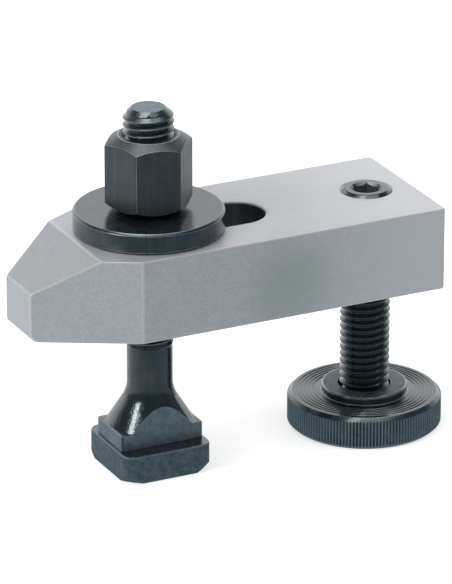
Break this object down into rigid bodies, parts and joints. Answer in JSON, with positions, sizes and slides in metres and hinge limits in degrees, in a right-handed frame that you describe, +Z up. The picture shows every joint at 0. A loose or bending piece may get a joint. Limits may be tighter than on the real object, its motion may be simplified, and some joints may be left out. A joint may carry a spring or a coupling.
{
  "type": "strap clamp",
  "caption": "Machine-table strap clamp: a tapered slotted bar held down by a T-slot bolt with a domed nut and washer, propped at the rear by a screw in a knurled foot.",
  "frame": {"origin": "on the T-slot bolt's axis, at the underside of its head, which is also the plane that the foot stands on", "axes": "+X along the bar towards its rear end, +Y to the left of that, +Z up along the bolt"},
  "size_m": [0.1072, 0.038, 0.088],
  "materials": {
    "bar_steel": "satin, pale blue-grey tempered and passivated steel",
    "blackened_steel": "glossy black oxide",
    "spring_steel": "bright drawn wire"
  },
  "bodies": {
    "bolt": {"t_slot_bolt": "blackened_steel"},
    "washer": {"washer": "blackened_steel"},
    "nut": {"domed_nut": "blackened_steel"},
    "bar": {"clamp_bar": "bar_steel"},
    "foot": {"support_foot": "blackened_steel", "snap_ring": "spring_steel"},
    "screw": {"support_screw": "blackened_steel"}
  },
  "joints": [
    {"name": "clamp_lift", "type": "slide", "parent": "bolt", "child": "washer", "axis": [0, 0, 1], "range_m": [-0.018, 0.006]},
    {"name": "nut_turn", "type": "hinge", "parent": "washer", "child": "nut", "pos_m": [0, 0, 0.0725], "axis": [0, 0, 1], "range_deg": [-3720, 1245]},
    {"name": "bar_slide", "type": "slide", "parent": "washer", "child": "bar", "axis": [1, 0, 0], "range_m": [-0.0225, 0.0035]},
    {"name": "foot_travel", "type": "slide", "parent": "bar", "child": "foot", "axis": [0, 0, 1], "range_m": [-0.008, 0.025]},
    {"name": "screw_turn", "type": "hinge", "parent": "foot", "child": "screw", "pos_m": [0.056, 0, 0.03], "axis": [0, 0, 1], "range_deg": [-1660, 5160]}
  ],
  "couplings": [
    {"joint": "nut_turn", "follows": "clamp_lift", "rad_per_m": 3590.4},
    {"joint": "screw_turn", "follows": "foot_travel", "rad_per_m": 3590.4}
  ]
}
